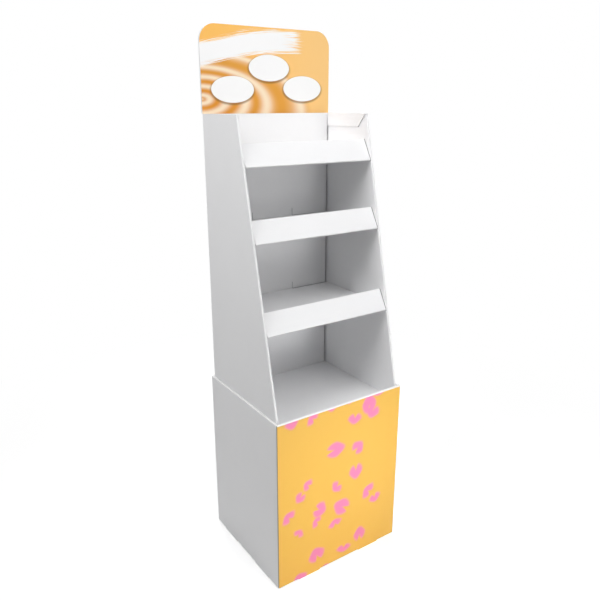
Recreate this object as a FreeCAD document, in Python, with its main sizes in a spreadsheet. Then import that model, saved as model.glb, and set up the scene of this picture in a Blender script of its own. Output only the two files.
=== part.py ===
import FreeCAD, Part
import math
import os
import Sketcher
from types import SimpleNamespace

# Floor display stand of folded corrugated board, in millimetres. X runs across the front,
# Y from the front to the back and Z up. The origin is under the middle of the base, on the
# floor. Every piece is one folded or flat sheet, drawn with Y = 0 on the front of the base
# and moved back by half the depth at the end.

driving = {
    # Board and the play between pieces
    "Board": 3.0,             # one thickness of corrugated board
    "PlyGap": 0.4,            # between two thicknesses folded flat on each other
    "FitGap": 0.3,            # round a tab in its slot
    "FoldRound": 2.6,         # outer rounding of a folded edge
    "Beyond": 1.0,            # how far a cut runs past the faces that it goes through
    # Base
    "BaseWidth": 400.0,
    "BaseDepth": 345.0,
    "BaseHeight": 478.0,      # without the feet
    "BaseCorner": 3.2,        # rounding of the upright folds
    "FootDrop": 3.0,          # how far the feet stand out under the base
    "FootWidth": 70.0,
    "FootSpreadWide": 102.0,  # middle of a foot from the middle of the front or back wall
    "FootSpreadDeep": 87.0,   # the same on a side wall
    "FlangeDepth": 70.0,      # bottom flanges, folded inwards
    "FlangeGap": 1.0,         # between two flanges at their mitred ends
    # Partition and tray inside the base
    "PartitionPlay": 1.0,
    "LapPlay": 0.4,           # in the halved joint of the two partition sheets
    "TrayDrop": 43.0,         # floor of the lowest tier under the top of the base
    "TrayFlange": 60.0,
    "TrayPlay": 0.5,
    "NotchPlay": 1.5,         # round the tray's flanges in the partition
    # Body
    "BodyPlay": 0.5,          # between the base and the body at the sides and the back
    "FrontPlay": 1.1,         # between the base and the body's front edges
    "BodyRise": 707.0,        # top of the body over the top of the base
    "BodyTopDepth": 172.3,    # depth of the body at its top
    "KneeDrop": 21.0,         # where the front edges start to slant, under the top of the base
    "PocketGap": 3.4,         # slit between back and liner that takes the shelves' rear tabs
    "LinerPlay": 4.5,         # open strip between the liner and each side
    "HemDepth": 34.0,         # flap folded over the top of each side
    "HemMitre": 27.0,         # slanted front end of that flap
    "HemSetback": 1.5,
    "HemPlay": 1.0,           # between that flap and the liner
    # Shelves
    "LowerRise": 201.4,       # lower edge of the shelf's lip over the top of the base
    "MiddleRise": 416.0,
    "UpperDrop": 117.6,       # lower edge of the upper shelf's lip under the top of the body
    "LipLength": 62.6,
    "LipAngle": 28.65,        # lean of the lip from the upright, in degrees
    "FloorLift": 16.5,        # shelf floor over the lower edge of the lip
    "ReturnDepth": 40.0,      # strip folded back under the lip
    "ShelfPlay": 1.2,         # between a shelf and the sides
    "RearGap": 2.5,           # between a shelf's rear fold and the liner
    "SideTabWidth": 40.0,
    "SideTabInset": 15.0,     # from the lip, or from the rear fold, to a side tab
    "RearTabWidth": 126.0,
    "SlitWidth": 1.0,         # upright slits at the ends of each rear slot
    "SlitRise": 20.0,
    # Header
    "HeaderBoard": 5.0,       # thickness of its board
    "HeaderHeight": 208.0,    # over the top of the body
    "HeaderRound": 42.0,
    "TongueWidth": 350.0,     # of the part that lies against the back
    "TongueDepth": 88.0,
}


class Length:
    """A size of the sheet, or a sum of such sizes, kept with its expression."""

    def __init__(self, number, text):
        self.number = number
        self.text = text

    def __add__(self, other):
        other = as_length(other)
        return Length(self.number + other.number, f"({self.text} + {other.text})")

    def __sub__(self, other):
        other = as_length(other)
        return Length(self.number - other.number, f"({self.text} - {other.text})")

    def __mul__(self, other):
        other = as_length(other)
        return Length(self.number * other.number, f"{self.text} * {other.text}")

    def __truediv__(self, other):
        other = as_length(other)
        return Length(self.number / other.number, f"{self.text} / ({other.text})")

    def __neg__(self):
        return Length(-self.number, f"(0 - {self.text})")

    def __radd__(self, other):
        return as_length(other) + self

    def __rmul__(self, other):
        return as_length(other) * self


def as_length(value):
    return value if isinstance(value, Length) else Length(float(value), repr(float(value)))


def sine(angle):
    return Length(math.sin(math.radians(angle.number)), f"sin({angle.text})")


def cosine(angle):
    return Length(math.cos(math.radians(angle.number)), f"cos({angle.text})")


doc = FreeCAD.newDocument("DisplayStand")
sheet = doc.addObject("Spreadsheet::Sheet", "Sizes")
for row, (alias, number) in enumerate(driving.items(), start=1):
    sheet.set(f"A{row}", str(number))
    sheet.setAlias(f"A{row}", alias)
doc.recompute()
given = SimpleNamespace(**{alias: Length(number, "Sizes." + alias)
                           for alias, number in driving.items()})


# Features of a sheet: each sketch lies on one of the body's own planes

def new_body(label):
    body = doc.addObject("PartDesign::Body", label)
    body.Label = label
    body.setExpression(".Placement.Base.y", (-given.BaseDepth / 2).text)
    return body


def origin_plane(body, role):
    return next(item for item in body.Origin.OriginFeatures if item.Role == role)


def draw(body, name, role, loops, offset):
    """Closed outlines whose every corner is tied to the sheet."""
    sketch = body.newObject("Sketcher::SketchObject", name)
    sketch.AttachmentSupport = (origin_plane(body, role), [""])
    sketch.MapMode = "FlatFace"
    sketch.setExpression(".AttachmentOffset.Base.z", offset.text)
    for corners in loops:
        first = sketch.GeometryCount
        spots = [FreeCAD.Vector(across.number, up.number, 0) for across, up in corners]
        for start, end in zip(spots, spots[1:] + spots[:1]):
            sketch.addGeometry(Part.LineSegment(start, end), False)
        for index, corner in enumerate(corners):
            line = first + index
            following = first + (index + 1) % len(corners)
            sketch.addConstraint(Sketcher.Constraint("Coincident", line, 2, following, 1))
            for kind, length in zip(("DistanceX", "DistanceY"), corner):
                tie = Sketcher.Constraint(kind, -1, 1, line, 1, length.number)
                sketch.setExpression(f"Constraints[{sketch.addConstraint(tie)}]", length.text)
    return sketch


def sweep_out(body, kind, name, role, loops, start, end):
    """A pad or pocket of the outlines from one depth of the plane's axis to another."""
    offset = -end if role == "XZ_Plane" else start    # this plane looks towards the front
    feature = body.newObject(kind, name)
    feature.Profile = draw(body, name + "Sketch", role, loops, as_length(offset))
    feature.setExpression("Length", (end - start).text)
    body.Tip = feature
    return feature


def add(body, name, role, loops, start, end):
    return sweep_out(body, "PartDesign::Pad", name, role, loops, start, end)


def cut(body, name, role, loops, start, end):
    doc.recompute()
    before = body.Shape.Volume
    pocket = sweep_out(body, "PartDesign::Pocket", name, role, loops, start, end)
    pocket.Reversed = True
    doc.recompute()
    if body.Shape.Volume >= before:
        raise RuntimeError(f"{name} cuts nothing")
    return pocket


def mirror(body, name, features):
    twin = body.newObject("PartDesign::Mirrored", name)
    twin.Originals = features
    twin.MirrorPlane = (origin_plane(body, "YZ_Plane"), [""])
    body.Tip = twin


def round_edges(body, name, radius, wanted):
    doc.recompute()
    base = body.Tip
    chosen = [f"Edge{index}" for index, edge in enumerate(base.Shape.Edges, start=1)
              if wanted(edge.BoundBox)]
    if not chosen:
        raise RuntimeError(f"{name} finds no edge")
    fillet = body.newObject("PartDesign::Fillet", name)
    fillet.Base = (base, chosen)
    fillet.setExpression("Radius", radius.text)
    body.Tip = fillet


def near(first, second):
    return abs(first - second) < 0.01


def rectangle(left, right, low, high):
    left, right, low, high = (as_length(side) for side in (left, right, low, high))
    return [(left, low), (right, low), (right, high), (left, high)]


def both_sides(half, low, high):
    """A rectangle as wide to the left as to the right."""
    return rectangle(-half, half, low, high)


def frame_line(inset):
    """The base's outline in plan, drawn in by an inset."""
    return both_sides(given.BaseWidth / 2 - inset, inset, given.BaseDepth - inset)


def in_four_corners(inset_from, inset_to):
    """A square in each corner of the base, between two insets."""
    half, depth = given.BaseWidth / 2, given.BaseDepth
    squares = []
    for low, high in ((inset_from, inset_to), (depth - inset_to, depth - inset_from)):
        squares.append(rectangle(half - inset_to, half - inset_from, low, high))
        squares.append(rectangle(inset_from - half, inset_to - half, low, high))
    return squares


# Heights and depths that several pieces share
double_wall = 2 * given.Board + given.PlyGap
base_bottom = given.FootDrop
base_top = base_bottom + given.BaseHeight
flange_top = base_bottom + given.Board
tray_top = base_top - given.TrayDrop
tray_edge = double_wall + given.TrayPlay

side_outer = given.BaseWidth / 2 - double_wall - given.BodyPlay
side_inner = side_outer - double_wall
body_front = double_wall + given.FrontPlay
body_rear = given.BaseDepth - double_wall - given.BodyPlay
body_top = base_top + given.BodyRise
back_front = body_rear - given.Board
liner_rear = back_front - given.PocketGap
liner_front = liner_rear - given.Board
knee = base_top - given.KneeDrop
top_front = body_rear - given.BodyTopDepth
slant = (top_front - body_front) / (body_top - knee)

lip_bases = {
    "shelf_lower": base_top + given.LowerRise,
    "shelf_middle": base_top + given.MiddleRise,
    "shelf_upper": body_top - given.UpperDrop,
}
shelf_edge = side_inner - given.ShelfPlay
shelf_rear = liner_front - given.RearGap


def front_edge(height):
    """Depth of the body's slanted front edge at a height."""
    return body_front + slant * (height - knee)


def lip_front(base, height):
    """Depth of the lip's front face at a height, for a lip whose lower edge is at base."""
    lean = sine(given.LipAngle) / cosine(given.LipAngle)
    return front_edge(base) + lean * (height - base)


def lip_offset(thickness):
    """How far back a face of the lip lies, level with its front, at that thickness."""
    return thickness / cosine(given.LipAngle)


def shelf_floor(base):
    return base + given.FloorLift


def side_tabs(base):
    """Start and end in depth of the two tabs on each side of a shelf."""
    behind_lip = lip_front(base, shelf_floor(base)) + lip_offset(double_wall)
    first = behind_lip + given.SideTabInset
    last = shelf_rear - given.SideTabInset
    return [(first, first + given.SideTabWidth), (last - given.SideTabWidth, last)]


# Base: four walls folded over at the top, flanges at the bottom, and feet in the walls' own
# plane, cut from the flanges where these fold

def foot_spots(inset_from, inset_to, play):
    """Plan of the eight feet, two to each wall, between two insets from the outside."""
    half, depth = given.BaseWidth / 2, given.BaseDepth
    reach = given.FootWidth / 2 + play
    spots = []
    for sign in (1, -1):
        middle = sign * given.FootSpreadWide
        for low, high in ((inset_from, inset_to), (depth - inset_to, depth - inset_from)):
            spots.append(rectangle(middle - reach, middle + reach, low, high))
        middle = depth / 2 + sign * given.FootSpreadDeep
        for left, right in ((half - inset_to, half - inset_from),
                            (inset_from - half, inset_to - half)):
            spots.append(rectangle(left, right, middle - reach, middle + reach))
    return spots


def mitred_flanges():
    half, depth = given.BaseWidth / 2, given.BaseDepth
    outer, inner, gap = given.Board, given.FlangeDepth, given.FlangeGap / 2
    wide_out, wide_in = half - outer - gap, half - inner - gap
    front = [(-wide_out, outer), (wide_out, outer), (wide_in, inner), (-wide_in, inner)]
    back = [(across, depth - along) for across, along in front]
    right = [(half - outer, outer + gap), (half - outer, depth - outer - gap),
             (half - inner, depth - inner - gap), (half - inner, inner + gap)]
    left = [(-across, along) for across, along in right]
    return [front, back, right, left]


def make_base_box():
    body = new_body("base_box")
    half = given.BaseWidth.number / 2
    depth = given.BaseDepth.number
    top = base_top.number
    add(body, "Walls", "XY_Plane", [frame_line(as_length(0)), frame_line(double_wall)],
        base_bottom, base_top)
    round_edges(body, "UprightFolds", given.BaseCorner,
                lambda box: near(abs(box.XMin), half) and near(abs(box.XMax), half)
                and near(box.XLength, 0) and near(box.YLength, 0)
                and (near(box.YMin, 0) or near(box.YMin, depth)))
    round_edges(body, "TopFolds", given.FoldRound,
                lambda box: near(box.ZMin, top) and near(box.ZMax, top))
    cut(body, "CornerReliefs", "XY_Plane",
        in_four_corners(given.Board, double_wall + given.Beyond),
        base_bottom - given.Beyond, base_top + given.Beyond)
    cut(body, "GapInWalls", "XY_Plane",
        [frame_line(given.Board), frame_line(given.Board + given.PlyGap)],
        base_bottom - given.Beyond, base_top - given.Board)
    cut(body, "InnerLowerEdge", "XY_Plane",
        [frame_line(given.Board), frame_line(double_wall + given.Beyond)],
        base_bottom - given.Beyond, flange_top + given.FitGap)
    add(body, "Flanges", "XY_Plane", mitred_flanges(), base_bottom, flange_top)
    cut(body, "FootNotches", "XY_Plane",
        foot_spots(given.Board, given.Board + given.FootDrop, given.FitGap),
        base_bottom - given.Beyond, flange_top + given.FitGap)
    add(body, "Feet", "XY_Plane", foot_spots(as_length(0), given.Board, as_length(0)),
        as_length(0), flange_top)
    return body


# Partition: two sheets halved into each other, cut away at the top for the tray's flanges

partition_top = tray_top - given.Board
partition_middle = (flange_top + partition_top) / 2
notch_bottom = partition_top - given.TrayFlange - given.NotchPlay
lap_half = (given.Board + given.LapPlay) / 2


def make_partition_wide():
    body = new_body("partition_wide")
    end = given.BaseWidth / 2 - double_wall - given.PartitionPlay
    notch = given.BaseWidth / 2 - tray_edge - given.Board - given.NotchPlay
    right = [(end, flange_top), (end, notch_bottom), (notch, notch_bottom),
             (notch, partition_top), (lap_half, partition_top), (lap_half, partition_middle)]
    left = [(-across, up) for across, up in reversed(right)]
    middle = given.BaseDepth / 2
    add(body, "Sheet", "XZ_Plane", [right + left],
        middle - given.Board / 2, middle + given.Board / 2)
    return body


def make_partition_deep():
    body = new_body("partition_deep")
    middle = given.BaseDepth / 2
    end = middle - double_wall - given.PartitionPlay
    notch = middle - tray_edge - given.Board - given.NotchPlay
    lap_top = partition_middle + given.LapPlay
    rear = [(lap_half, lap_top), (lap_half, flange_top), (end, flange_top),
            (end, notch_bottom), (notch, notch_bottom), (notch, partition_top)]
    front = [(-along, up) for along, up in reversed(rear)]
    outline = [(middle + along, up) for along, up in rear + front]
    add(body, "Sheet", "YZ_Plane", [outline], -given.Board / 2, given.Board / 2)
    return body


# Tray: the floor of the lowest tier, with four flanges folded down

def make_base_tray():
    body = new_body("base_tray")
    plate_bottom = tray_top - given.Board
    flange_bottom = plate_bottom - given.TrayFlange
    inside = tray_edge + given.Board
    top = tray_top.number
    add(body, "Plate", "XY_Plane", [frame_line(tray_edge)], plate_bottom, tray_top)
    add(body, "FoldedFlanges", "XY_Plane", [frame_line(tray_edge), frame_line(inside)],
        flange_bottom, plate_bottom)
    cut(body, "CornerSlits", "XY_Plane",
        in_four_corners(tray_edge - given.Beyond, inside + given.FitGap),
        flange_bottom - given.Beyond, plate_bottom)
    round_edges(body, "PlateFolds", given.FoldRound,
                lambda box: near(box.ZMin, top) and near(box.ZMax, top))
    return body


# Body: back and two sides of one sheet. Each side is folded back on itself at its slanted
# front edge, the back at its lower edge, and a flap closes the top of each side.

def side_outline(inset, low, high):
    """The side in elevation, its front edges moved back by an inset."""
    return [(body_rear, low), (body_front + inset, low), (body_front + inset, knee),
            (front_edge(high) + inset, high), (body_rear, high)]


def rear_slot(base):
    """A slot for a shelf's rear tab, with an upright slit at each end."""
    end = given.RearTabWidth / 2 + given.FitGap
    shoulder = end - given.SlitWidth
    low = shelf_floor(base) - given.Board - given.FitGap
    high = shelf_floor(base) + given.FitGap
    slit = shelf_floor(base) + given.SlitRise
    right = [(end, low), (end, slit), (shoulder, slit), (shoulder, high)]
    return right + [(-across, up) for across, up in reversed(right)]


def make_display_body():
    body = new_body("display_body")
    outer_ply = side_outer - given.Board
    side = add(body, "Side", "YZ_Plane", [side_outline(as_length(0), tray_top, body_top)],
               side_inner, side_outer)
    gap = cut(body, "GapInSide", "YZ_Plane",
              [side_outline(given.Board, tray_top - given.Beyond, body_top + given.Beyond)],
              outer_ply - given.PlyGap, outer_ply)
    inner_end = cut(body, "InnerPlyEnd", "YZ_Plane",
                    [rectangle(back_front - given.PlyGap, body_rear + given.Beyond,
                               tray_top - given.Beyond, body_top + given.Beyond)],
                    side_inner - given.Beyond, outer_ply)
    mirror(body, "OtherSide", [side, gap, inner_end])
    lean = (top_front - body_front).number
    round_edges(body, "FrontFolds", given.FoldRound,
                lambda box: near(box.XLength, 0) and box.YMax < top_front.number + 0.1
                and (near(box.YLength, lean) or near(box.YMax, body_front.number))
                and min(abs(abs(box.XMin) - side_outer.number),
                        abs(abs(box.XMin) - side_inner.number)) < 0.01)
    add(body, "Back", "XZ_Plane", [both_sides(side_outer, tray_top, body_top)],
        back_front, body_rear)
    liner_half = side_inner - given.LinerPlay
    add(body, "Liner", "YZ_Plane",
        [[(back_front, tray_top), (back_front, tray_top + given.Board),
          (liner_rear, tray_top + given.Board), (liner_rear, body_top),
          (liner_front, body_top), (liner_front, tray_top)]],
        -liner_half, liner_half)
    bases = list(lip_bases.values())
    cut(body, "RearSlots", "XZ_Plane", [rear_slot(base) for base in bases],
        liner_front - given.Beyond, liner_rear + given.Beyond)

    tab_slots = [rectangle(start - given.FitGap, end + given.FitGap,
                           shelf_floor(base) - given.Board - given.FitGap,
                           shelf_floor(base) + given.FitGap)
                 for base in bases for start, end in side_tabs(base)]
    slots = cut(body, "TabSlots", "YZ_Plane", tab_slots, side_inner - given.Beyond, outer_ply)
    mirror(body, "OtherTabSlots", [slots])

    hem_front = top_front + given.HemSetback
    hem_rear = liner_front - given.HemPlay
    hem_bottom = body_top - given.HemDepth
    inner_ply_top = body_top - given.Board - given.PlyGap
    flap_outer = side_inner - given.PlyGap
    flap_inner = flap_outer - given.Board
    room = cut(body, "HemRoom", "YZ_Plane",
               [rectangle(front_edge(inner_ply_top) - given.Beyond, hem_rear + given.FitGap,
                          inner_ply_top, body_top + given.Beyond)],
               side_inner - given.Beyond, outer_ply)
    fold = add(body, "HemFold", "YZ_Plane",
               [rectangle(hem_front, hem_rear, body_top - given.Board, body_top)],
               flap_inner, side_outer)
    flap = add(body, "HemFlap", "YZ_Plane",
               [[(hem_front, body_top), (hem_front + given.HemMitre, hem_bottom),
                 (hem_rear, hem_bottom), (hem_rear, body_top)]],
               flap_inner, flap_outer)
    mirror(body, "OtherHem", [room, fold, flap])
    return body


# Shelves: a floor with flanges folded down and a leaning lip folded over at its top

def shelf_section(base):
    """The folded sheet cut from front to back, always one board thick."""
    floor = shelf_floor(base)
    under = floor - given.Board
    across, down = cosine(given.LipAngle), sine(given.LipAngle)
    tip = (front_edge(base) + given.LipLength * down, base + given.LipLength * across)

    def in_fold(depth):
        """A point that deep in the lip, one board under its top edge."""
        return (tip[0] + depth * across - given.Board * down,
                tip[1] - depth * down - given.Board * across)

    second_ply = given.Board + given.PlyGap
    back_of_tip = (tip[0] + double_wall * across, tip[1] - double_wall * down)
    return [
        (shelf_rear - given.Board, base), (shelf_rear, base), (shelf_rear, floor),
        (lip_front(base, floor) + lip_offset(double_wall), floor),
        back_of_tip, tip, (front_edge(base), base),
        (front_edge(base) + given.ReturnDepth, base),
        (front_edge(base) + given.ReturnDepth, base + given.Board),
        (lip_front(base, base + given.Board) + lip_offset(given.Board), base + given.Board),
        in_fold(given.Board), in_fold(second_ply),
        (lip_front(base, under) + lip_offset(second_ply), under),
        (shelf_rear - given.Board, under),
    ]


def make_shelf(label, base):
    body = new_body(label)
    floor = shelf_floor(base)
    under = floor - given.Board
    section = shelf_section(base)
    add(body, "FoldedSheet", "YZ_Plane", [section], -shelf_edge, shelf_edge)
    folds = [(along.number, up.number) for along, up in section[2:3] + section[4:7]]
    round_edges(body, "SheetFolds", given.FoldRound,
                lambda box: box.XLength > 1 and any(near(box.YMin, along) and near(box.ZMin, up)
                                                    for along, up in folds))
    flange = add(body, "SideFlange", "YZ_Plane",
                 [rectangle(front_edge(base) + given.ReturnDepth + given.FitGap,
                            shelf_rear - given.Board - given.FitGap, base, under)],
                 shelf_edge - given.Board, shelf_edge)
    tab_end = side_outer - given.Board - given.FitGap
    spans = side_tabs(base)
    window = cut(body, "TabWindows", "YZ_Plane",
                 [rectangle(start, end, under - (tab_end - shelf_edge), under)
                  for start, end in spans],
                 shelf_edge - given.Board - given.Beyond, shelf_edge + given.Beyond)
    tabs = add(body, "SideTabs", "YZ_Plane",
               [rectangle(start, end, under, floor) for start, end in spans],
               shelf_edge - given.Board, tab_end)
    mirror(body, "OtherSideParts", [flange, window, tabs])
    tab_half = given.RearTabWidth / 2
    rear_end = back_front - given.FitGap
    cut(body, "RearWindow", "XZ_Plane",
        [both_sides(tab_half, under - (rear_end - shelf_rear), under)],
        shelf_rear - given.Board - given.Beyond, shelf_rear + given.Beyond)
    add(body, "RearTab", "XY_Plane",
        [both_sides(tab_half, shelf_rear - given.Board, rear_end)], under, floor)
    return body


# Header: a flat board with two rounded corners, its tongue fixed on the rear of the back

def make_header_board():
    body = new_body("header_board")
    top = body_top + given.HeaderHeight
    half = side_outer
    right = [(given.TongueWidth / 2, body_top - given.TongueDepth),
             (given.TongueWidth / 2, body_top), (half, body_top), (half, top)]
    left = [(-across, up) for across, up in reversed(right)]
    front = body_rear + given.PlyGap
    add(body, "Sheet", "XZ_Plane", [right + left], front, front + given.HeaderBoard)
    round_edges(body, "Corners", given.HeaderRound,
                lambda box: near(box.ZMin, top.number) and near(box.ZLength, 0)
                and near(box.XLength, 0))
    return body


bodies = [make_base_box(), make_partition_wide(), make_partition_deep(), make_base_tray(),
          make_display_body()]
bodies += [make_shelf(label, base) for label, base in lip_bases.items()]
bodies.append(make_header_board())
doc.recompute()

for item in doc.Objects:
    if "Invalid" in item.State or "Error" in item.State:
        raise RuntimeError(f"{item.Label} failed: {item.State}")
for body in bodies:
    if body.Shape.isNull() or not body.Shape.isValid() or len(body.Shape.Solids) != 1:
        raise RuntimeError(f"{body.Label} isn't one valid solid")

os.makedirs("parts", exist_ok=True)
for body in bodies:
    body.Shape.exportStep(f"parts/{body.Label}.step")
    box = body.Shape.BoundBox
    print(f"{body.Label}: {box.XLength:.1f} x {box.YLength:.1f} x {box.ZLength:.1f} mm, "
          f"{body.Shape.Volume / 1000:.0f} cm3")
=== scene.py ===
import math

import bmesh
import bpy
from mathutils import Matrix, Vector


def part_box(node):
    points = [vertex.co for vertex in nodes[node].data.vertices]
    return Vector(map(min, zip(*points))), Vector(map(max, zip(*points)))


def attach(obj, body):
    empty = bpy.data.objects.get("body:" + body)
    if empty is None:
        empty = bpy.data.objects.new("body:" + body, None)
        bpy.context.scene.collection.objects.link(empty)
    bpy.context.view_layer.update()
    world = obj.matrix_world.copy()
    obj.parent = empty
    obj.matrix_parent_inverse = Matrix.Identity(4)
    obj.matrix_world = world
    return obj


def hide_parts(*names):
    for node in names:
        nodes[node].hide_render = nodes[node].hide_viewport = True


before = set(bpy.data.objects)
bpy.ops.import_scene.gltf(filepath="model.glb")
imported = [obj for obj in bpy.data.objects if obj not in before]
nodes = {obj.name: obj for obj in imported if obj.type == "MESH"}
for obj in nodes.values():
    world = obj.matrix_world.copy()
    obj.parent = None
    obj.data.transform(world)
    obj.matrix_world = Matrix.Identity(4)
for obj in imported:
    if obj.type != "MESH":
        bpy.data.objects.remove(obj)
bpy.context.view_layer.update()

print("stand: packed model loaded")


# Camera, at the photograph's viewing angle

cameraSettings = {
    "place": (-0.8799, -1.2731, 1.2098),
    "turn": (math.pi / 2 - 0.3096, 0.0003, -0.5967),
    "lens": 36.66,
    "sensor": 36.0,
    "farthest": 60.0,
}

cameraData = bpy.data.cameras.new("standCamera")
cameraData.lens = cameraSettings["lens"]
cameraData.sensor_width = cameraSettings["sensor"]
cameraData.clip_end = cameraSettings["farthest"]
standCamera = bpy.data.objects.new("standCamera", cameraData)
standCamera.location = cameraSettings["place"]
standCamera.rotation_euler = cameraSettings["turn"]
bpy.context.scene.collection.objects.link(standCamera)
bpy.context.scene.camera = standCamera
bpy.context.scene.view_settings.view_transform = "Standard"


# Node trees, written as Python sums

mixSockets = {                                    # of a Mix node that mixes colours
    "into": (0, 6, 7),                            # factor, first and second colour
    "out": 2,
}


class Wire:                                       # one output socket in a tree
    def __init__(self, tree, socket):
        self.tree = tree
        self.socket = socket

    def maths(self, operation, *values):
        return self.tree.add("ShaderNodeMath", {"operation": operation}, *values)

    def __add__(self, other):
        return self.maths("ADD", self, other)

    def __radd__(self, other):
        return self.maths("ADD", other, self)

    def __sub__(self, other):
        return self.maths("SUBTRACT", self, other)

    def __rsub__(self, other):
        return self.maths("SUBTRACT", other, self)

    def __mul__(self, other):
        return self.maths("MULTIPLY", self, other)

    def __rmul__(self, other):
        return self.maths("MULTIPLY", other, self)

    def __truediv__(self, other):
        return self.maths("DIVIDE", self, other)

    def __rtruediv__(self, other):
        return self.maths("DIVIDE", other, self)

    def __pow__(self, other):
        return self.maths("POWER", self, other)

    def __rpow__(self, other):
        return self.maths("POWER", other, self)

    def __abs__(self):
        return self.maths("ABSOLUTE", self)

    def __gt__(self, other):
        return self.maths("GREATER_THAN", self, other)

    def __lt__(self, other):
        return self.maths("LESS_THAN", self, other)

    def between(self, low, high):
        return (self > low) * (self < high)

    def most(self, other):
        return self.maths("MAXIMUM", self, other)

    def root(self):
        return self.maths("SQRT", self)

    def rounded(self):
        return self.maths("ROUND", self)

    def wave(self):
        return self.maths("SINE", self)


def awayFrom(first, second):                      # distance from the middle, by two wires
    return (first * first + second * second).root()


class Tree:                                       # a material's, a modifier's or a group's nodes
    def __init__(self, nodeTree):
        self.nodeTree = nodeTree

    def add(self, kind, settings, *values, out=0, **named):
        node = self.nodeTree.nodes.new(kind)
        for name, setting in settings.items():
            setattr(node, name, setting)
        for key, value in list(enumerate(values)) + list(named.items()):
            socket = node.inputs[key.replace("_", " ") if isinstance(key, str) else key]
            self.feed(socket, value)
        return Wire(self, node.outputs[out]) if node.outputs else node

    def feed(self, socket, value):
        if isinstance(value, Wire):
            self.nodeTree.links.new(value.socket, socket)
        elif value is not None:
            socket.default_value = value

    def ease(self, value, start, end, low=0.0, high=1.0):     # soft step from low to high
        return self.add("ShaderNodeMapRange", {"interpolation_type": "SMOOTHSTEP"},
                        value, start, end, low, high)

    def blend(self, share, first, second):                    # colours
        mixed = self.add("ShaderNodeMix", {"data_type": "RGBA"}, out=mixSockets["out"])
        for place, value in zip(mixSockets["into"], (share, first, second)):
            self.feed(mixed.socket.node.inputs[place], value)
        return mixed

    def split(self, vector):                                  # x, y and z
        parts = self.add("ShaderNodeSeparateXYZ", {}, vector).socket.node
        return [Wire(self, output) for output in parts.outputs]

    def noise(self, place, scale, detail, roughness=0.5):
        return self.add("ShaderNodeTexNoise", {}, Vector=place, Scale=scale, Detail=detail,
                        Roughness=roughness)


def tone(red, green, blue):                       # screen colour, 0 to 255, as a linear one
    def linear(value):
        value /= 255
        return value / 12.92 if value <= 0.04045 else ((value + 0.055) / 1.055) ** 2.4
    return (linear(red), linear(green), linear(blue), 1.0)


def cornersOf(name):                              # lowest and highest corner of a CAD node
    return [Vector(corner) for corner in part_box(name)]


# Room: white world, pale floor that keeps the shadow, soft lamps

roomSettings = {
    "white": (1, 1, 1, 1),
    "worldGlow": 0.05,
    "floorTone": 0.88,
    "floorGlow": 0.46,                            # lifts the floor to near white where it is seen
    "floorReach": 9.0,
    "floorSides": 96,
    "floorSink": 0.0002,                          # under the feet
    "floorFade": (0.5, 1.7),                      # from the middle, where it turns to the white world
    "lamps": {                                    # place, aim, size across, spread, power in watts
        "overFront": ((0.2, -1.7, 2.9), (0, 0, 0.75), 1.6, 180, 18.0),
        "leftHigh": ((-1.6, -0.2, 2.2), (-0.2, 0.05, 1.25), 1.4, 100, 9.0),
        "rightLow": ((1.35, -2.4, 1.6), (0, 0, 1.0), 2.0, 180, 7.5),
        "rightHigh": ((1.58, -2.26, 3.06), (0, 0, 0.75), 2.4, 180, 18.0),
        "baseFront": ((0.4, -1.55, 0.12), (0, -0.17, 0.2), 0.8, 40, 1.15),
        "upperFront": ((0.6, -1.8, 0.95), (0, 0.2, 1.22), 0.8, 38, 0.33),
        "overhead": ((-0.3, -0.7, 3.0), (0, 0, 0.6), 1.0, 180, 9.5),
        "rear": ((0.9, 2.8, 1.9), (0, 0, 0.75), 1.4, 180, 44.0),
    },
}


def whiteForCamera(tree):                         # 1 on rays that show the background
    rays = tree.add("ShaderNodeLightPath", {}).socket.node.outputs
    camera, glossy, glass = (Wire(tree, rays[name]) for name in
                             ("Is Camera Ray", "Is Glossy Ray", "Is Transmission Ray"))
    return camera.most(glossy).most(glass)


def makeWorld():
    world = bpy.data.worlds.new("whiteRoom")
    bpy.context.scene.world = world
    world.use_nodes = True
    world.node_tree.nodes.clear()
    tree = Tree(world.node_tree)
    white = roomSettings["white"]
    glow = tree.add("ShaderNodeBackground", {}, white, roomSettings["worldGlow"])
    plain = tree.add("ShaderNodeBackground", {}, white, 1.0)
    shown = tree.add("ShaderNodeMixShader", {}, whiteForCamera(tree), glow, plain)
    tree.add("ShaderNodeOutputWorld", {}, Surface=shown)


def makeFloorFinish():
    material = bpy.data.materials.new("paleFloor")
    material.use_nodes = True
    material.node_tree.nodes.clear()
    tree = Tree(material.node_tree)
    white = roomSettings["white"]
    shade = roomSettings["floorTone"]
    across, along = tree.split(tree.add("ShaderNodeTexCoord", {}, out="Object"))[:2]
    far = tree.ease(awayFrom(across, along), *roomSettings["floorFade"])
    seen = whiteForCamera(tree)
    matte = tree.add("ShaderNodeBsdfDiffuse", {}, (shade, shade, shade, 1))
    glow = tree.add("ShaderNodeEmission", {}, white, seen * roomSettings["floorGlow"])
    lit = tree.add("ShaderNodeAddShader", {}, matte, glow)
    plain = tree.add("ShaderNodeEmission", {}, white, 1.0)
    shown = tree.add("ShaderNodeMixShader", {}, far * seen, lit, plain)
    tree.add("ShaderNodeOutputMaterial", {}, Surface=shown)
    return material


def makeFloor():
    mesh = bpy.data.meshes.new("floor")
    form = bmesh.new()
    bmesh.ops.create_circle(form, cap_ends=True, segments=roomSettings["floorSides"],
                            radius=roomSettings["floorReach"])
    bmesh.ops.translate(form, verts=form.verts, vec=(0, 0, -roomSettings["floorSink"]))
    form.to_mesh(mesh)
    form.free()
    mesh.materials.append(makeFloorFinish())
    floor = bpy.data.objects.new("floor", mesh)
    bpy.context.scene.collection.objects.link(floor)


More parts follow.
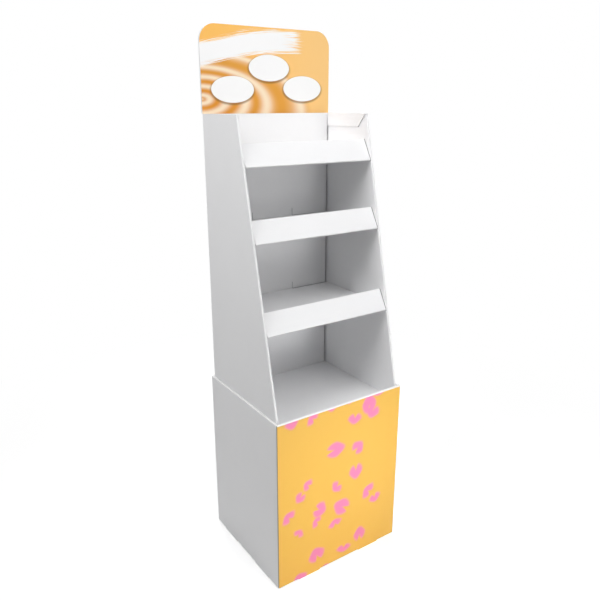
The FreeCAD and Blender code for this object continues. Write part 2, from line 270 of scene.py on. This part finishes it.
def makeLamps():
    for name, (place, aim, size, spread, power) in roomSettings["lamps"].items():
        lamp = bpy.data.lights.new(name, "AREA")
        lamp.shape = "DISK"
        lamp.size = size
        lamp.spread = math.radians(spread)
        lamp.energy = power
        holder = bpy.data.objects.new(name, lamp)
        holder.location = place
        look = Vector(aim) - Vector(place)
        holder.rotation_euler = look.to_track_quat("-Z", "Y").to_euler()
        bpy.context.scene.collection.objects.link(holder)


makeWorld()
makeFloor()
makeLamps()
print("stand: camera, room and lamps made")


# White coated corrugated board

squareOn = 0.9                                    # least part of a normal along the axis it faces

boardSettings = {
    "sheet": 0.003,                               # thickness
    "white": tone(243, 243, 244),
    "shade": tone(242, 242, 243),                 # cloudy patches in the coating
    "fibre": tone(236, 236, 237),                 # fine specks
    "cloud": (9.0, 3.0, 0.55),                    # a noise's scale, detail and roughness
    "cloudStep": (0.38, 0.66),                    # where a patch begins, and where it is full
    "speck": (380.0, 2.0, 0.6),
    "speckStep": (0.55, 0.8),
    "speckShare": 0.5,
    "flutePitch": 0.0065,
    "fluteDepth": 0.00004,                        # of the faint washboard on the faces
    "sideways": 0.7,                              # past it, the washboard runs along y
    "bow": (4.0, 1.0),
    "bowDepth": 0.00012,
    "bumpStrength": 0.6,
    "gloss": (60.0, 3.0),
    "glossStep": (0.3, 0.7),
    "roughness": (0.42, 0.56),
    "specular": 0.35,
    "inkGloss": 0.08,                             # how much smoother print is
}

cutSettings = {                                   # flutes on a cut edge, in metres
    "paper": tone(214, 205, 190),
    "hollowShade": tone(120, 113, 104),                # painted shade of the open hollows between the flutes
    "flutesInside": 0.0005,                       # peaks of the flutes under the outer faces
    "flutePaper": (0.00015, 0.0004),              # half its thickness, inside and outside its soft edge
    "linerPaper": (0.0006, 0.0003),               # its depth, at the two ends of its soft edge
    "hollowDepth": 0.0004,
}


class Board(Tree):                                # the finish of one piece of board
    def __init__(self, name):
        self.material = bpy.data.materials.new(name)
        self.material.use_nodes = True
        super().__init__(self.material.node_tree)
        self.nodeTree.nodes.clear()
        self.place = self.add("ShaderNodeTexCoord", {}, out="Object")
        self.x, self.y, self.z = self.split(self.place)
        facing = self.add("ShaderNodeNewGeometry", {}, out="Normal")
        self.toX, self.toY, self.toZ = self.split(facing)
        self.colour = self.coating()
        self.height = self.relief()
        gloss = self.noise(self.place, *boardSettings["gloss"])
        self.roughness = self.ease(gloss, *boardSettings["glossStep"], *boardSettings["roughness"])

    def coating(self):
        cloud = self.noise(self.place, *boardSettings["cloud"])
        speck = self.noise(self.place, *boardSettings["speck"])
        colour = self.blend(self.ease(cloud, *boardSettings["cloudStep"]), boardSettings["white"],
                            boardSettings["shade"])
        specks = self.ease(speck, *boardSettings["speckStep"]) * boardSettings["speckShare"]
        return self.blend(specks, colour, boardSettings["fibre"])

    def flutes(self, across):                     # a wave from -1 to 1, at the board's pitch
        return (across * (2 * math.pi / boardSettings["flutePitch"])).wave()

    def relief(self):                             # faint washboard and slow bows, in metres
        sideways = abs(self.toX) > boardSettings["sideways"]
        washboard = self.flutes(sideways * self.y + (1 - sideways) * self.x)
        bows = self.noise(self.place, *boardSettings["bow"])
        return washboard * (boardSettings["fluteDepth"] / 2) + bows * boardSettings["bowDepth"]

    def paint(self, share, colour):               # colour over what is there
        self.colour = self.blend(share, self.colour, colour)

    def printOn(self, share, ink):                # paint that is also smoother
        self.paint(share, ink)
        self.roughness = self.roughness - share * boardSettings["inkGloss"]

    def cutEdge(self, across, depth, middle, shown):          # flutes on a cut edge, where shown is 1, with painted shade in the hollows
        half = boardSettings["sheet"] / 2
        off = abs(depth - middle - self.flutes(across) * (half - cutSettings["flutesInside"]))
        core = 1 - self.ease(off, *cutSettings["flutePaper"])
        linerDepth = [half - deep for deep in cutSettings["linerPaper"]]
        liner = self.ease(abs(depth - middle), *linerDepth)
        paper = core.most(liner)
        self.paint(shown, self.blend(paper, cutSettings["hollowShade"], cutSettings["paper"]))
        self.height = self.height + shown * (paper - 1) * cutSettings["hollowDepth"]

    def finish(self):
        bump = self.add("ShaderNodeBump", {}, Strength=boardSettings["bumpStrength"], Distance=1.0,
                        Height=self.height)
        shader = self.add("ShaderNodeBsdfPrincipled", {}, Base_Color=self.colour,
                          Roughness=self.roughness, Normal=bump,
                          Specular_IOR_Level=boardSettings["specular"])
        self.add("ShaderNodeOutputMaterial", {}, Surface=shader)
        return self.material


def dress(name, material):
    slots = nodes[name].data.materials
    slots.clear()
    slots.append(material)


# Yellow-orange print on the front of the base, with soft notched petals

frontPrint = {
    "field": tone(250, 197, 85),
    "petal": tone(254, 143, 190),
    "facing": (-0.55, -0.85),                     # y of the normal, where the print sets in on a fold
    "top": 0.4772,                                # where the print ends under the fold
    "right": 0.1968,
    "endFade": 0.0006,
    "foldShadeTone": tone(120, 121, 122),              # painted shade line along the left fold
    "foldStep": (0.2, 0.42),
    "foldShadeShare": 0.8,
    "rimHighlight": tone(254, 254, 254),                   # painted highlight on the top folds
    "rimHighlightStep": (0.4785, 0.4798),
}

petalSettings = {
    "softEdge": 0.0060,                           # half the width of a petal's soft edge
    "foot": 0.003,                                # height that their second number is measured from
    "slimming": (0.5, 1.1),                       # towards the point: how much, and where it ends
    "notchTip": 0.24,                             # past the middle, towards the blunt end
    "notchSlope": 0.42,                           # half its width over its depth
    "notchSoft": (-0.4, 0.6),
    "petals": [                                   # across, up, along and over the heading in mm, heading
        (-20, 353, 59, 44, 0), (55, 335, 36, 43, 40), (50, 262, 46, 44, -88),
        (-109, 280, 24, 32, 143), (-132, 251, 29, 31, 225), (-15, 238, 27, 39, 216),
        (-168, 206, 28, 43, 132), (-69, 189, 40, 46, -30), (-80, 156, 22, 36, 145),
        (3, 170, 56, 48, 145), (95, 184, 31, 48, 139), (122, 151, 28, 38, -75),
        (-136, 144, 21, 32, 50), (-18, 126, 24, 42, 103), (-79, 51, 44, 51, 108),
        (70, 53, 44, 40, 90), (14, 29, 24, 47, -97), (-134, -2, 34, 48, 112),
        (-48, -7, 22, 38, 90), (-157, 471, 32, 38, -80), (-95, 466, 24, 40, 135),
        (-35, 478, 20, 30, -90), (22, 480, 14, 22, -90), (41, 424, 30, 44, -100),
        (89, 453, 58, 46, 95), (102, 427, 36, 46, -115), (120, 480, 22, 50, -90),
    ],
}


def makePetalGroup():                             # a unit disc, slimmed to a point at +x and notched
    group = bpy.data.node_groups.new("petal", "ShaderNodeTree")
    group.interface.new_socket("Place", in_out="INPUT", socket_type="NodeSocketVector")
    group.interface.new_socket("Soft", in_out="INPUT", socket_type="NodeSocketFloat")
    group.interface.new_socket("Mask", in_out="OUTPUT", socket_type="NodeSocketFloat")
    tree = Tree(group)
    place = tree.add("NodeGroupInput", {})
    soft = Wire(tree, place.socket.node.outputs["Soft"])
    along, aside = tree.split(place)[:2]
    slimmer, point = petalSettings["slimming"]
    narrow = aside * (1.0 + tree.ease(along, 0.0, point) * slimmer)
    body = tree.ease(awayFrom(along, narrow), 1 + soft, 1 - soft)
    wedge = abs(aside) + (along + petalSettings["notchTip"]) * petalSettings["notchSlope"]
    start, end = petalSettings["notchSoft"]
    notch = tree.ease(wedge, start * soft, end * soft)
    output = group.nodes.new("NodeGroupOutput")
    tree.feed(output.inputs["Mask"], body * notch)
    return group


def makePetals(board):                            # 1 on the petals
    petalGroup = makePetalGroup()
    flat = board.add("ShaderNodeCombineXYZ", {}, board.x, board.z, 0.0)
    petals = None
    for across, up, length, width, heading in petalSettings["petals"]:
        middle = Vector((across, up, 0)) / 1000 + Vector((0, petalSettings["foot"], 0))
        half = Vector((length, width)) / 2000
        local = board.add("ShaderNodeMapping", {"vector_type": "TEXTURE"}, flat, middle,
                          (0, 0, math.radians(heading)), (half.x, half.y, 1))
        soft = petalSettings["softEdge"] * 2 / (half.x + half.y)
        petal = board.add("ShaderNodeGroup", {"node_tree": petalGroup}, local, soft)
        petals = petal if petals is None else petals.most(petal)
    return petals


def makeBaseFinish():
    board = Board("printedBase")
    ink = board.blend(makePetals(board), frontPrint["field"], frontPrint["petal"])
    fade = frontPrint["endFade"]
    shown = board.ease(board.toY, *frontPrint["facing"])
    for place, limit in ((board.z, frontPrint["top"]), (board.x, frontPrint["right"])):
        shown = shown * board.ease(place, limit + fade, limit)
    # painted shade along the left front fold only
    foldShade = board.ease(board.toX * board.toY, *frontPrint["foldStep"])
    foldShade = foldShade * (board.toX < 0) * (board.toY < 0)
    # painted highlight along the rounded top folds
    board.paint(board.ease(board.z, *frontPrint["rimHighlightStep"]), frontPrint["rimHighlight"])
    board.printOn(shown, ink)
    board.paint(foldShade * frontPrint["foldShadeShare"], frontPrint["foldShadeTone"])
    return board.finish()


dress("base_box", makeBaseFinish())


# Body, tray, shelves and the partitions in the base

shelves = ("shelf_lower", "shelf_middle", "shelf_upper")

bodyMarks = {
    "gapShade": tone(96, 96, 99),                 # painted shade in the gaps by the lip ends, slits and seams, and in the pocket, which is also uncoated board
    "shadeShare": 0.85,
    "innerFace": 0.1867,                          # of each side, from the middle
    "linerFront": 0.1562,
    "linerEdge": 0.1822,
    "linerBehind": 0.0064,                        # rear of the liner before the rear of the back
    "slitPlace": 0.0638,                          # at the ends of each slot for a rear tab
    "slitRise": 0.020,
    "slitHalf": 0.0012,
    "slitShade": 0.55,                              # painted shade, paler than the other lines
    "lipLean": 28.65,
    "lipLength": 0.0626,
    "lipLine": 0.0024,                            # painted shade line on the side along a lip's end
    "floorLift": 0.0165,                          # shelf floor over the lower edge of its lip
    # half width of the painted shade line along each shelf floor's seam
    "seam": 0.0014,
    "lineSoft": 0.3,                              # share of a line's width that its soft edge takes
    "seamSoft": 0.4,
    "onFace": 0.0006,                             # how near a place is to a face that it is on
    "slack": 0.001,
    "topSlack": 0.0005,
    "bandSlack": 0.0001,
    "endInset": 0.011,                            # cut edges shown, inside the sides
}


def softLine(board, off, half, soft):             # 1 where off is less than half, with a soft edge
    return board.ease(off, half * (1 + soft), half * (1 - soft))


def makeGapShade(board):                           # 1 in the painted shade lines by the shelves and the liner, and in the pocket
    marks = bodyMarks
    slack = marks["slack"]
    lean = math.radians(marks["lipLean"])
    aside = abs(board.x)
    forward = board.toY < -squareOn
    onSide = (abs(board.toX) > squareOn) * (abs(aside - marks["innerFace"]) < marks["onFace"])
    onLiner = forward * (abs(board.y - marks["linerFront"]) < marks["onFace"])
    pocket = forward * (board.y > marks["linerFront"] + slack)
    shadedLines = pocket * aside.between(marks["linerEdge"], marks["innerFace"])
    for shelf in shelves:
        low, high = cornersOf(shelf)
        foot = high.z - marks["lipLength"] * math.cos(lean)
        floor = foot + marks["floorLift"]
        before = (low.y + (board.z - foot) * math.tan(lean) - board.y) * math.cos(lean)
        beside = softLine(board, before, marks["lipLine"], marks["lineSoft"])
        beside = beside * (before > -slack) * board.z.between(foot - slack, high.z)
        slit = softLine(board, abs(aside - marks["slitPlace"]), marks["slitHalf"], marks["lineSoft"])
        slit = slit * board.z.between(floor, floor + marks["slitRise"])
        seam = softLine(board, board.z - floor, marks["seam"], marks["seamSoft"])
        seam = seam * (board.z > floor - slack) * (aside > marks["slitPlace"])
        shadedLines = shadedLines.most(onSide * beside)
        shadedLines = shadedLines.most(onLiner * slit.most(seam) * marks["slitShade"])
    return shadedLines


def makeBodyFinish():
    board = Board("bodyBoard")
    marks = bodyMarks
    high = cornersOf("display_body")[1]
    thick = boardSettings["sheet"]
    slack = marks["bandSlack"]
    # painted shade in the gaps, slits, seams and pocket; the pocket is also uncoated board
    board.paint(makeGapShade(board) * marks["shadeShare"], marks["gapShade"])
    upward = (board.toZ > squareOn) * (board.z > high.z - marks["topSlack"])
    inside = abs(board.x) < high.x - marks["endInset"]
    for rear in (high.y, high.y - marks["linerBehind"]):      # the back, and the liner before it
        band = board.y.between(rear - thick - slack, rear + slack)
        board.cutEdge(board.x, board.y, rear - thick / 2, upward * inside * band)
    return board.finish()


def makePlainFinish(name):
    return Board(name).finish()


def makePartitionFinish(name, along):
    board = Board(name)
    across, depth = (board.x, board.y) if along == "x" else (board.y, board.x)
    board.cutEdge(across, depth, 0.0, abs(board.toZ) > squareOn)
    return board.finish()


dress("display_body", makeBodyFinish())
dress("base_tray", makePlainFinish("trayBoard"))
dress("partition_wide", makePartitionFinish("partitionWideBoard", "x"))
dress("partition_deep", makePartitionFinish("partitionDeepBoard", "y"))
shelfBoard = makePlainFinish("shelfBoard")
for shelf in shelves:
    dress(shelf, shelfBoard)
print("stand: boards coated and base printed")


# Header: two liners with a fluted sheet between them, in the outline of the CAD board

headerPiece = {
    "paper": 0.0004,                              # thickness of each of the three sheets
    "flutePitch": 0.0086,
    "round": 0.042,
    "tongueWidth": 0.350,
    "shoulder": 1.188,
    "columns": 540,
    "clearance": 1.6,                             # papers from a face to the middle of the flutes' peaks
    "closed": 0.4999,                             # past it, a sheet's end has no thickness
    "printReach": 0.3,                            # papers behind the middle of the front sheet
    "mergeWithin": 1e-6,
}

headerPrint = {
    "left": tone(255, 193, 92),
    "right": tone(255, 206, 131),
    "groundStep": (-0.19, 0.19),
    "deep": tone(224, 143, 20),                   # troughs of the ripples
    "farDeep": tone(228, 158, 52),                # the outer troughs
    "deepStep": (2.0, 9.0),                       # in rings from the centre, as the next steps are
    "pale": tone(254, 231, 200),                  # their crests
    "centre": (-0.193, 0.0345),                   # of the ripples: across, and up from the foot
    "stretch": 2.15,
    "lean": 1.7,
    "leastScale": 0.2,
    "spacing": (1.68, 86.5, 9.3, 0.84),           # ring n is 0.42 n squared + 9.3 n mm out, solved for n
    "lastRing": (7.4, 9.8),                       # it is the widest
    "lastRingShift": 0.92,
    "crestPower": 1.25,
    "spot": (0.7, 0.0),                           # pale spot at the centre
    "spotShare": 0.6,
    "fade": (9.0, 9.95),
    "onFace": 0.0002,
}

brushBand = {
    "white": tone(255, 255, 255),
    "leftEnd": -0.193,
    "middle": 0.178,                              # up from the foot of the print
    "drop": (0.040, 0.27, 1.8),                   # at the left end, how far it reaches, and its power
    "half": 0.0250,
    "grain": (10, 560),                           # fine across the band, and long along it
    "streak": (1.0, 2.0, 0.6),
    "fray": (0.45, 1.0, 0.5),
    "edgeRag": (1.05, 0.4),                       # by the streaks and by the fraying, in half widths
    "edgeStep": (1.14, 0.98),
    "endRag": (0.10, 0.05),
    "endStep": (0.290, 0.270),
    "thinEnd": (0.225, 0.285),                    # where the ink thins along the band
    "thinEdge": (0.7, 0.95),                      # and across it
    "thinStreak": (0.50, 0.60),
    "thinShare": 0.85,
}

ovalMarks = {
    "white": tone(255, 255, 255),
    "shadow": tone(128, 82, 20),
    "places": [(0.0017, 0.1113), (-0.106, 0.058), (0.1053, 0.062)],
    "half": (0.0605, 0.0320),
    "edge": (1.012, 0.992),
    "shadowShift": (0.0004, 0.0028),              # left and down
    "shadowGrow": (0.0006, 0.0012),
    "shadowEdge": (1.12, 0.96),
    "shadowShare": 0.72,
}


def makeSheet(tree, size, middle, swing):         # one closed sheet of paper, flat or fluted
    corners = 5                                   # round a sheet's section, and back to the first
    grid = tree.add("GeometryNodeMeshGrid", {}, 1.0, 1.0, size["Columns"], corners)
    across, turn = tree.split(tree.add("GeometryNodeInputPosition", {}))[:2]
    corner = ((turn + 0.5) * (corners - 1)).rounded()
    isHigh = corner.between(0.5, 2.5)
    isBack = corner.between(1.5, 3.5)
    x = across * size["Width"]
    past = (abs(x) - (size["Width"] / 2 - size["Round"])).most(0.0)
    bend = (size["Round"] * size["Round"] - past * past).most(0.0).root()
    high = size["Top"] - size["Round"] + bend
    outside = abs(x) > size["TongueWidth"] / 2
    low = size["TongueFoot"] + outside * (size["Shoulder"] - size["TongueFoot"])
    angle = x * (2 * math.pi) / size["Pitch"]
    slope = (angle + math.pi / 2).wave() * swing * (2 * math.pi) / size["Pitch"]
    length = (slope * slope + 1).root()
    half = (isBack - 0.5) * size["Paper"] * (abs(across) < headerPiece["closed"])
    y = middle + angle.wave() * swing + half / length
    z = low + isHigh * (high - low)
    spot = tree.add("ShaderNodeCombineXYZ", {}, x - half * slope / length, y, z)
    moved = tree.add("GeometryNodeSetPosition", {}, Geometry=grid, Position=spot)
    return tree.add("GeometryNodeMergeByDistance", {}, Geometry=moved,
                    Distance=headerPiece["mergeWithin"])


def makeHeaderTree(boardMaterial, printMaterial):
    group = bpy.data.node_groups.new("corrugatedBoard", "GeometryNodeTree")
    sizes = ("Width", "Top", "Shoulder", "TongueFoot", "TongueWidth", "Front", "Thickness",
             "Paper", "Pitch", "Round")
    for name in sizes:
        group.interface.new_socket(name, in_out="INPUT", socket_type="NodeSocketFloat")
    group.interface.new_socket("Columns", in_out="INPUT", socket_type="NodeSocketInt")
    group.interface.new_socket("Geometry", in_out="OUTPUT", socket_type="NodeSocketGeometry")
    tree = Tree(group)
    entry = tree.add("NodeGroupInput", {}).socket.node
    size = {name: Wire(tree, entry.outputs[name]) for name in sizes + ("Columns",)}
    front = size["Front"] + size["Paper"] / 2
    back = size["Front"] + size["Thickness"] - size["Paper"] / 2
    core = size["Front"] + size["Thickness"] / 2
    swing = size["Thickness"] / 2 - size["Paper"] * headerPiece["clearance"]
    joined = tree.add("GeometryNodeJoinGeometry", {})
    for middle, height in ((back, 0.0), (core, swing), (front, 0.0)):
        tree.feed(joined.socket.node.inputs[0], makeSheet(tree, size, middle, height))
    whole = tree.add("GeometryNodeRealizeInstances", {}, joined)
    plain = tree.add("GeometryNodeSetMaterial", {}, Geometry=whole, Material=boardMaterial)
    depth = tree.split(tree.add("GeometryNodeInputPosition", {}))[1]
    frontSheet = depth < front + size["Paper"] * headerPiece["printReach"]
    printed = tree.add("GeometryNodeSetMaterial", {}, Geometry=plain, Material=printMaterial,
                       Selection=frontSheet)
    output = group.nodes.new("NodeGroupOutput")
    tree.feed(output.inputs[0], printed)
    return group


def makeRipples(board, x, z):                     # rings on a plane that leans away, over the ground
    marks = headerPrint
    ground = board.blend(board.ease(x, *marks["groundStep"]), marks["left"], marks["right"])
    centreX, centreZ = marks["centre"]
    away = z - centreZ
    scale = (1 - away * marks["lean"]).most(marks["leastScale"])
    radius = awayFrom((x - centreX) / (scale * marks["stretch"]), away / scale) * 1000
    slope, square, width, growth = marks["spacing"]
    ring = ((radius * slope + square).root() - width) / growth
    ring = ring - board.ease(ring, *marks["lastRing"]) * marks["lastRingShift"]
    crest = 0.5 - 0.5 * (ring * math.pi + math.pi / 2).wave()
    spot = marks["spotShare"] * board.ease(ring, *marks["spot"])
    crest = (crest ** marks["crestPower"]).most(spot)
    deep = board.blend(board.ease(ring, *marks["deepStep"]), marks["deep"], marks["farDeep"])
    ripples = board.blend(crest, deep, marks["pale"])
    return board.blend(board.ease(ring, *marks["fade"]), ripples, ground)


def makeBrush(board, x, z):                       # 1 on the white band, ragged at its edges
    band = brushBand
    along = x - band["leftEnd"]
    fall, reach, power = band["drop"]
    middle = band["middle"] - fall * (1 - along / reach).most(0.0) ** power
    off = z - middle
    alongGrain, acrossGrain = band["grain"]
    place = board.add("ShaderNodeCombineXYZ", {}, x * alongGrain, off * acrossGrain, 0.0)
    streak = board.noise(place, *band["streak"])
    fray = board.noise(place, *band["fray"])
    edge = abs(off) / band["half"]

    def ragged(value, amounts):
        byStreak, byFray = amounts
        return value + (streak - 0.5) * byStreak + (fray - 0.5) * byFray

    whole = board.ease(ragged(edge, band["edgeRag"]), *band["edgeStep"])
    whole = whole * board.ease(ragged(along, band["endRag"]), *band["endStep"])
    thin = board.ease(along, *band["thinEnd"]).most(board.ease(edge, *band["thinEdge"]))
    return whole * (1 - board.ease(streak, *band["thinStreak"]) * thin * band["thinShare"])


def addOvals(board, x, z, ink):                   # white ovals, each with a soft shadow under it
    marks = ovalMarks
    wide, tall = marks["half"]
    left, down = marks["shadowShift"]
    wider, taller = marks["shadowGrow"]
    for ovalX, ovalZ in marks["places"]:
        under = awayFrom((x - ovalX + left) / (wide + wider), (z - ovalZ + down) / (tall + taller))
        shadow = board.ease(under, *marks["shadowEdge"]) * marks["shadowShare"]
        oval = board.ease(awayFrom((x - ovalX) / wide, (z - ovalZ) / tall), *marks["edge"])
        ink = board.blend(shadow, ink, marks["shadow"])
        ink = board.blend(oval, ink, marks["white"])
    return ink


def makeHeaderPrint():
    board = Board("headerPrint")
    low = cornersOf("header_board")[0]
    x = board.x
    z = board.z - headerPiece["shoulder"]
    ink = makeRipples(board, x, z)
    ink = board.blend(makeBrush(board, x, z), ink, brushBand["white"])
    ink = addOvals(board, x, z, ink)
    front = (board.toY < -squareOn) * (board.y < low.y + headerPrint["onFace"])
    board.printOn(front, ink)
    return board.finish()


def makeHeader():
    low, high = cornersOf("header_board")
    group = makeHeaderTree(makePlainFinish("headerBoard"), makeHeaderPrint())
    start = bpy.data.meshes.new("headerStart")
    carrier = bpy.data.objects.new("headerCarrier", start)
    bpy.context.scene.collection.objects.link(carrier)
    modifier = carrier.modifiers.new("corrugatedBoard", "NODES")
    modifier.node_group = group
    values = {
        "Width": high.x - low.x, "Top": high.z, "Shoulder": headerPiece["shoulder"],
        "TongueFoot": low.z, "TongueWidth": headerPiece["tongueWidth"], "Front": low.y,
        "Thickness": high.y - low.y, "Paper": headerPiece["paper"],
        "Pitch": headerPiece["flutePitch"], "Round": headerPiece["round"],
        "Columns": headerPiece["columns"],
    }
    for item in group.interface.items_tree:
        if item.in_out == "INPUT":
            modifier[item.identifier] = values[item.name]
    evaluated = carrier.evaluated_get(bpy.context.evaluated_depsgraph_get())
    mesh = bpy.data.meshes.new_from_object(evaluated)
    bpy.data.objects.remove(carrier)              # and its modifier with it
    form = bmesh.new()
    form.from_mesh(mesh)
    if form.calc_volume(signed=True) < 0:
        bmesh.ops.reverse_faces(form, faces=form.faces)
    form.to_mesh(mesh)
    form.free()
    mesh.name = "header"
    header = bpy.data.objects.new("header", mesh)
    bpy.context.scene.collection.objects.link(header)
    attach(header, "root")
    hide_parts("header_board")
    print("stand: header made,", len(mesh.polygons), "faces")


makeHeader()
